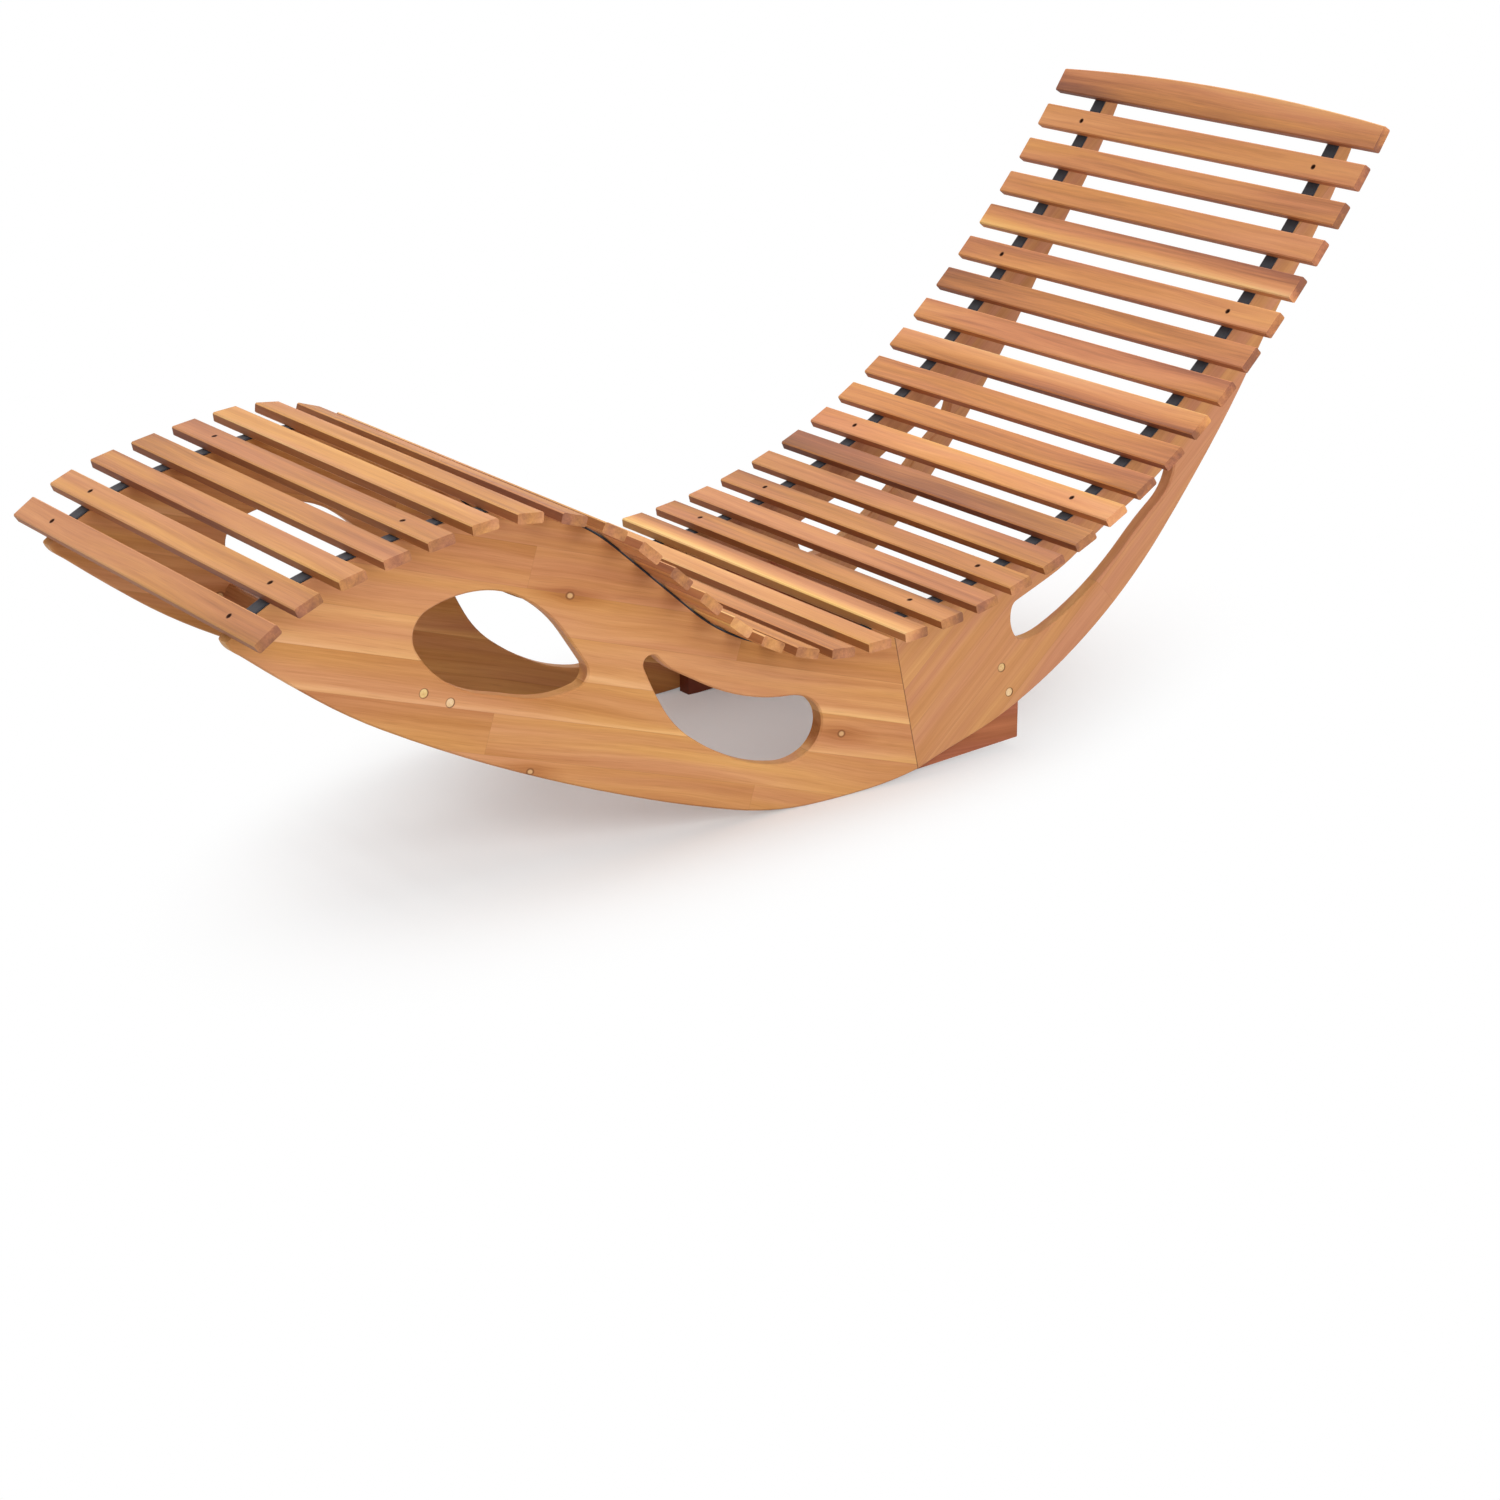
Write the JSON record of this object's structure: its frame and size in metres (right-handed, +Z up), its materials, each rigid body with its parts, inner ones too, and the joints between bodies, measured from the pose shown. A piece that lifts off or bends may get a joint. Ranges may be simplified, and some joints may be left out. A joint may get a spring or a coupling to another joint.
{
  "type": "rocking chaise lounge",
  "caption": "Slatted wooden rocking lounger: an S-curved seat of cross slats on rocker-shaped side frames pierced by oval, bean and crescent cut-outs.",
  "frame": {"origin": "on the floor, midway along and across the lounger at rest", "axes": "+X from the foot end to the head end, +Y to the sitter's right, +Z up"},
  "size_m": [1.569, 0.6, 0.7384],
  "materials": {
    "slat_wood": "oiled, satin",
    "frame_wood": "oiled, satin",
    "heel_wood": "oiled, satin",
    "rail_wood": "oiled, satin",
    "dowel_wood": "sanded end grain",
    "strap_webbing": "woven webbing"
  },
  "bodies": {
    "root": {"slat_01": "slat_wood", "slat_02": "slat_wood", "slat_03": "slat_wood", "slat_04": "slat_wood", "slat_05": "slat_wood", "slat_06": "slat_wood", "slat_07": "slat_wood", "slat_08": "slat_wood", "slat_09": "slat_wood", "slat_10": "slat_wood", "slat_11": "slat_wood", "slat_12": "slat_wood", "slat_13": "slat_wood", "slat_14": "slat_wood", "slat_15": "slat_wood", "slat_16": "slat_wood", "slat_17": "slat_wood", "slat_18": "slat_wood", "slat_19": "slat_wood", "slat_20": "slat_wood", "slat_21": "slat_wood", "slat_22": "slat_wood", "slat_23": "slat_wood", "slat_24": "slat_wood", "slat_25": "slat_wood", "slat_26": "slat_wood", "slat_27": "slat_wood", "slat_28": "slat_wood", "slat_29": "slat_wood", "slat_30": "slat_wood", "slat_31": "slat_wood", "slat_32": "slat_wood", "slat_33": "slat_wood", "slat_34": "slat_wood", "slat_35": "slat_wood", "left_front_board": "frame_wood", "left_rear_board": "frame_wood", "left_heel": "heel_wood", "left_strap": "strap_webbing", "left_rail_dowels": "dowel_wood", "right_front_board": "frame_wood", "right_rear_board": "frame_wood", "right_heel": "heel_wood", "right_strap": "strap_webbing", "right_rail_dowels": "dowel_wood", "front_rail": "rail_wood", "rear_rail": "rail_wood"}
  },
  "joints": []
}
